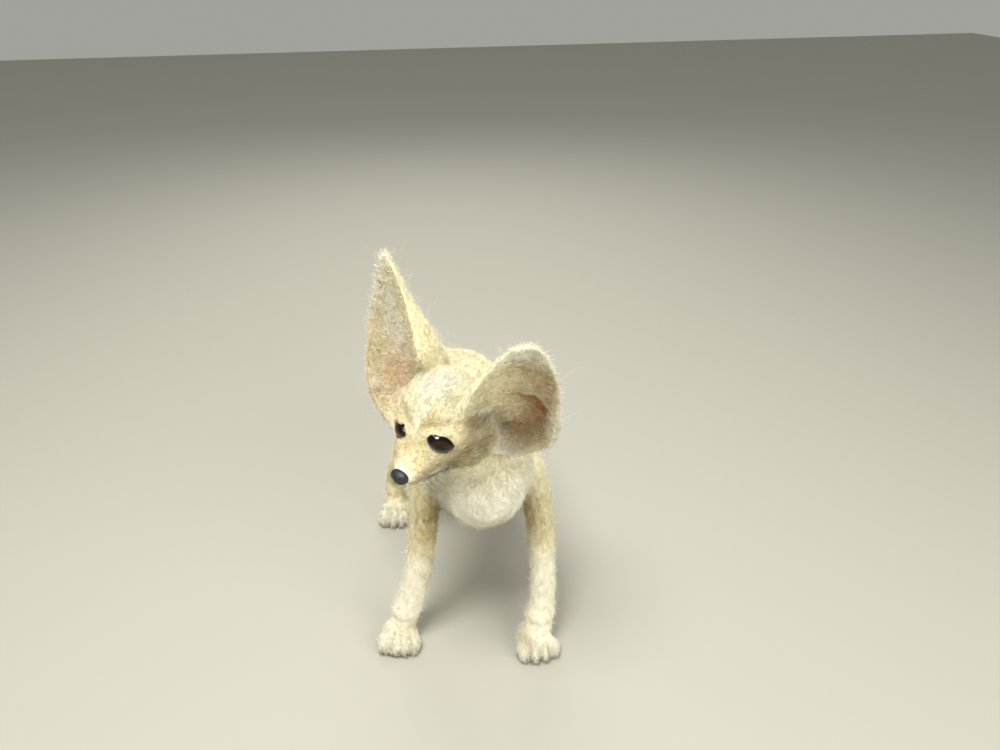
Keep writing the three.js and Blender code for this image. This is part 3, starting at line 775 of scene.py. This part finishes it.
def dome(around, rings):
    # unit sphere with its pole toward -Y: (cos a sin b, -cos b, sin a sin b), and its closed faces
    b = np.linspace(0, np.pi, rings + 1)[1:-1, None]
    a = np.linspace(0, 2 * np.pi, around, endpoint=False)[None]
    grid = np.stack([np.sin(b) * np.cos(a), -np.cos(b) + 0 * a, np.sin(b) * np.sin(a)], -1)
    grid = grid.reshape(-1, 3)
    last = len(grid) + 1
    faces = []
    for k in range(around):
        n = (k + 1) % around
        faces.append((0, 1 + k, 1 + n))
        faces.append((last, last - around + n, last - around + k))
        for r in range(rings - 2):
            base = 1 + r * around
            faces.append((base + k, base + around + k, base + around + n, base + n))
    return np.concatenate([[(0, -1, 0)], grid, [(0, 1, 0)]]), faces


# Glass eyes: blown dark brown glass, so dark that the iris hardly shows beside the pupil, with a bright
# polished surface
glass = {"pupil": 18, "pupilEdge": 8, "iris": 44, "irisEdge": 10, "dark": "#060403", "brown": "#2C190D"}


def glassMaterial():
    material, shader = newMaterial("dark brown glass")
    shader.inputs["Roughness"].default_value = 0.08
    shader.inputs["IOR"].default_value = 1.52
    shader.inputs["Coat Weight"].default_value = 0.15
    shader.inputs["Coat Roughness"].default_value = 0.03
    shader.inputs["Specular IOR Level"].default_value = 0.3
    paint = addNode(material, "ShaderNodeAttribute", {"attribute_name": "iris"})
    join(material, paint, "Color", shader, "Base Color")
    return material


glassFinish = glassMaterial()
ball, ballFaces = dome(48, 28)
for side in ("left", "right"):
    points = eyeMiddles[side] + (ball * np.array(eyeSetup["half"]) * mm) @ eyeAxes(side).T
    eye = addPiece("glass_eye_" + side, points, ballFaces, glassFinish, ["eye_" + side])
    fromPupil = np.degrees(np.arccos(np.clip(-ball[:, 1], -1, 1)))
    iris = (step((fromPupil - glass["pupil"]) / glass["pupilEdge"])
            * (1 - step((fromPupil - glass["iris"]) / glass["irisEdge"])))[:, None]
    paintPiece(eye, "iris", linear(glass["dark"]) * (1 - iris) + linear(glass["brown"]) * iris)
print("eyes set")

# Nose: blue-black wool, needled hard, so it shines a little and shows its fibres as a fine grain
noseFinish, noseShader = newMaterial("hard-felted blue-black wool")
noseShader.inputs["Roughness"].default_value = 0.4
placeOf = addNode(noseFinish, "ShaderNodeTexCoord")
grain = addNode(noseFinish, "ShaderNodeTexNoise", {}, {"Scale": 1000 / 0.9, "Detail": 4.0},
                {"Vector": (placeOf, "Object")})
noseBump = addNode(noseFinish, "ShaderNodeBump", {}, {"Strength": 0.8, "Distance": 0.4 * mm},
                   {"Height": (grain, "Fac")})
join(noseFinish, noseBump, "Normal", noseShader, "Normal")
noseTone = addNode(noseFinish, "ShaderNodeMapRange", {}, {"From Min": 0.4, "From Max": 0.68},
                   {"Value": (grain, "Fac")})
noseMix = addNode(noseFinish, "ShaderNodeMix", {"data_type": "RGBA"}, {},
                  {"Factor": (noseTone, "Result")})
# the mixing node's two colours are its inputs 6 and 7, and the mixed colour its output 2
noseMix.inputs[6].default_value = colour("#0E1013")
noseMix.inputs[7].default_value = colour("#3B4550")
join(noseFinish, noseMix, 2, noseShader, "Base Color")
pad, padFaces = dome(40, 24)
pad = pad * np.array(noseSetup["half"])
pad[:, 0] *= 1 + noseSetup["flare"] * pad[:, 2] / noseSetup["half"][2]
nostril = noseSetup["nostril"]
for x in (-nostril["at"], nostril["at"]):
    hole = nearCurve(pad, [(x, -3.8, -0.4), (x * 1.7, -2.2, -1.8)])
    pad += np.array([0, nostril["depth"], 0]) * bell(hole / nostril["width"])[:, None]
pad = fromHead(pad + np.array(noseSetup["middle"]))
addPiece("felt_nose", pad, padFaces, noseFinish, ["nose"])

# Whiskers: waxed dark thread, drawn a little thicker than real
whiskerFinish, whiskerShader = newMaterial("waxed dark thread")
whiskerShader.inputs["Base Color"].default_value = colour("#2B241C")
whiskerShader.inputs["Roughness"].default_value = 0.5
whiskers = {"roots": [(8.5, -38, -21), (9.5, -35, -22), (10.5, -32, -22.5)],
            "reach": [(4, 3, -9), (5, 4, -11), (7, 6, -8)], "bow": (2.5, -1.5, 0),
            "thickness": 0.24, "rings": 10}
points, faces = [], []
for sign in (1, -1):
    for root, reach in zip(whiskers["roots"], whiskers["reach"]):
        # root + reach * t + bow * 4 t (1 - t), three-sided, closed at both ends
        t = np.linspace(0, 1, whiskers["rings"])[:, None]
        line = np.array(root) + np.array(reach) * t + np.array(whiskers["bow"]) * 4 * t * (1 - t)
        radius = whiskers["thickness"] / 2 * (1 - 0.8 * t)
        around = [line + radius * np.array([math.cos(q), math.sin(q), 0.4 * math.sin(q)])
                  for q in np.radians((0, 120, 240))]
        start = len(points)
        points += list(np.stack(around, 1).reshape(-1, 3) * (sign, 1, 1))
        end = start + 3 * whiskers["rings"] - 3
        sides = [(start, start + 2, start + 1), (end, end + 1, end + 2)]
        for r in range(whiskers["rings"] - 1):
            for k in range(3):
                p, q = start + 3 * r + k, start + 3 * r + (k + 1) % 3
                sides.append((p, q, q + 3, p + 3))
        faces += [side[::sign] for side in sides]
addPiece("whiskers", fromHead(np.array(points)), faces, whiskerFinish)
print("nose and whiskers set")

# Studio: pale floor and soft lights
studio = {"floorHalf": 3, "lamps": (1.0, 0.985, 0.92), "aim": (0, -0.04, 0.13), "sky": "#E8E8E0",
          "skyStrength": 0.45}
half = studio["floorHalf"]
floorMesh = bpy.data.meshes.new("floor")
floorMesh.from_pydata([(-half, -half, 0), (half, -half, 0), (half, half, 0), (-half, half, 0)], [],
                      [(0, 1, 2, 3)])
floor = bpy.data.objects.new("floor", floorMesh)
floorFinish, floorShader = newMaterial("pale floor paint")
floorShader.inputs["Base Color"].default_value = colour("#B4B2A9")
floorShader.inputs["Roughness"].default_value = 0.9
floorMesh.materials.append(floorFinish)
bpy.context.scene.collection.objects.link(floor)

lights = {
    "key": {"at": (-0.27, -0.42, 1.2), "size": 0.5, "power": 16.5},
    "fill": {"at": (0.55, -0.95, 0.55), "size": 0.9, "power": 6.5},
    "back": {"at": (0.1, 0.9, 0.9), "size": 0.8, "power": 5},
}
for name, light in lights.items():
    data = bpy.data.lights.new(name, "AREA")
    data.shape = "DISK"
    data.size = light["size"]
    data.energy = light["power"]
    data.color = studio["lamps"]
    lamp = bpy.data.objects.new(name, data)
    lamp.visible_glossy = name == "key"  # one catchlight in each eye
    lamp.location = light["at"]
    aim = np.array(studio["aim"]) - np.array(light["at"])
    heading = math.atan2(aim[1], aim[0]) - math.pi / 2
    lamp.rotation_euler = (math.acos(-aim[2] / np.linalg.norm(aim)), 0, heading)
    bpy.context.scene.collection.objects.link(lamp)
world = bpy.data.worlds.new("studio")
world.use_nodes = True
world.node_tree.nodes["Background"].inputs["Color"].default_value = colour(studio["sky"])
world.node_tree.nodes["Background"].inputs["Strength"].default_value = studio["skyStrength"]
bpy.context.scene.world = world
bpy.context.scene.view_settings.view_transform = "Standard"
